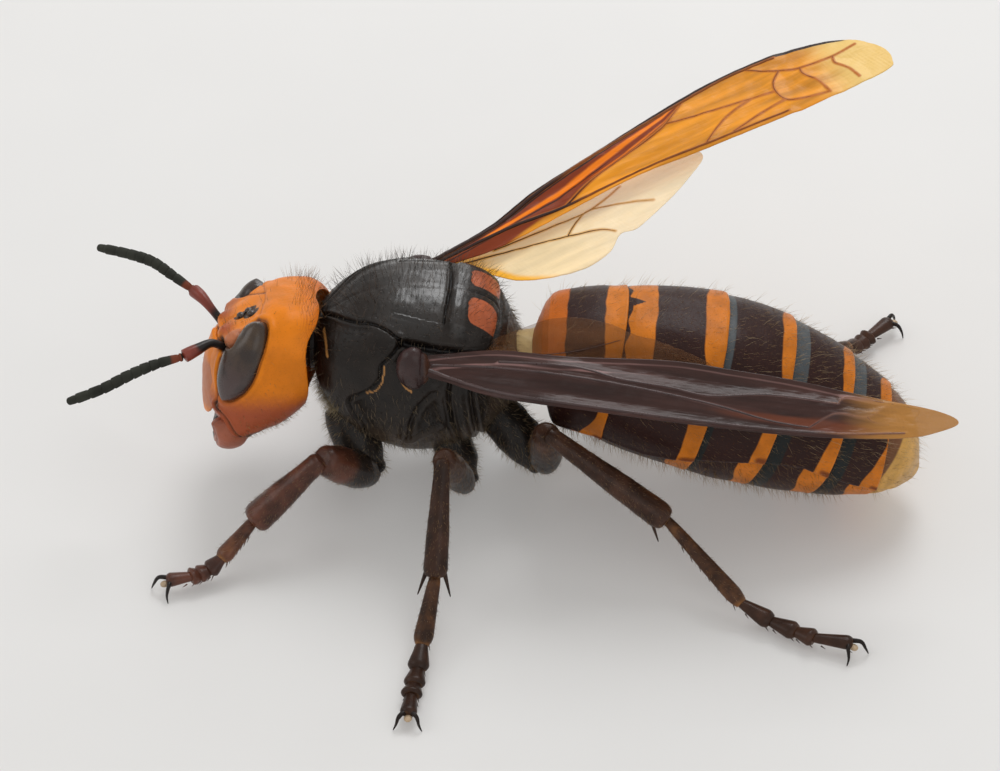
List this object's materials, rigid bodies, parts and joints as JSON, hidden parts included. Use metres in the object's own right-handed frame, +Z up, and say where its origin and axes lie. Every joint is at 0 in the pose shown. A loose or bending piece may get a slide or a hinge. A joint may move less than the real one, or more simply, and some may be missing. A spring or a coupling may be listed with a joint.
{
  "type": "asian giant hornet",
  "caption": "Standing giant hornet with an orange head, dark thorax, banded abdomen, one wing folded back and the other pair raised.",
  "frame": {"origin": "centre of the bounding box at floor level", "axes": "-Y is the way the hornet faces, +Y its rear, +X its left side, +Z up"},
  "size_m": [0.0446, 0.0562, 0.0218],
  "materials": {
    "orange_shell": "satin orange chitin",
    "eye": "polished dark brown",
    "red_brown_shell": "satin red-brown chitin",
    "black_shell": "finely pitted black-brown chitin",
    "black_red_shell": "black chitin with two red-orange patches",
    "dark_brown_shell": "satin dark brown chitin",
    "cream_shell": "satin pale yellow chitin",
    "banded_shell": "satin dark brown chitin with orange bands",
    "amber_shell": "satin amber chitin",
    "smoky_membrane": "glossy folded wing membrane, dark brown",
    "amber_membrane": "glossy clear wing membrane, amber"
  },
  "bodies": {
    "root": {"head": "orange_shell", "eye_left": "eye", "eye_right": "eye", "mandible_left": "red_brown_shell", "mandible_right": "red_brown_shell", "antenna_scape_left": "dark_brown_shell", "antenna_scape_right": "dark_brown_shell", "antenna_flagellum_left": "black_shell", "antenna_flagellum_right": "black_shell", "neck": "black_shell", "pronotum": "black_shell", "mesothorax": "black_shell", "propodeum": "black_shell", "scutellum": "black_red_shell", "tegula_left": "dark_brown_shell", "tegula_right": "dark_brown_shell", "petiole": "cream_shell", "abdomen_1": "banded_shell", "abdomen_2": "banded_shell", "abdomen_3": "banded_shell", "abdomen_4": "banded_shell", "abdomen_5": "banded_shell", "abdomen_6": "amber_shell", "coxa_front_left": "black_shell", "femur_front_left": "dark_brown_shell", "tibia_front_left": "dark_brown_shell", "tarsus_front_left": "dark_brown_shell", "coxa_front_right": "black_shell", "femur_front_right": "dark_brown_shell", "tibia_front_right": "dark_brown_shell", "tarsus_front_right": "dark_brown_shell", "coxa_mid_left": "black_shell", "femur_mid_left": "dark_brown_shell", "tibia_mid_left": "dark_brown_shell", "tarsus_mid_left": "dark_brown_shell", "coxa_mid_right": "black_shell", "femur_mid_right": "dark_brown_shell", "tibia_mid_right": "dark_brown_shell", "tarsus_mid_right": "dark_brown_shell", "coxa_hind_left": "black_shell", "femur_hind_left": "dark_brown_shell", "tibia_hind_left": "dark_brown_shell", "tarsus_hind_left": "dark_brown_shell", "coxa_hind_right": "black_shell", "femur_hind_right": "dark_brown_shell", "tibia_hind_right": "dark_brown_shell", "tarsus_hind_right": "dark_brown_shell", "forewing_left": "smoky_membrane", "forewing_right": "amber_membrane", "hindwing_left": "amber_membrane", "hindwing_right": "amber_membrane"}
  },
  "joints": []
}
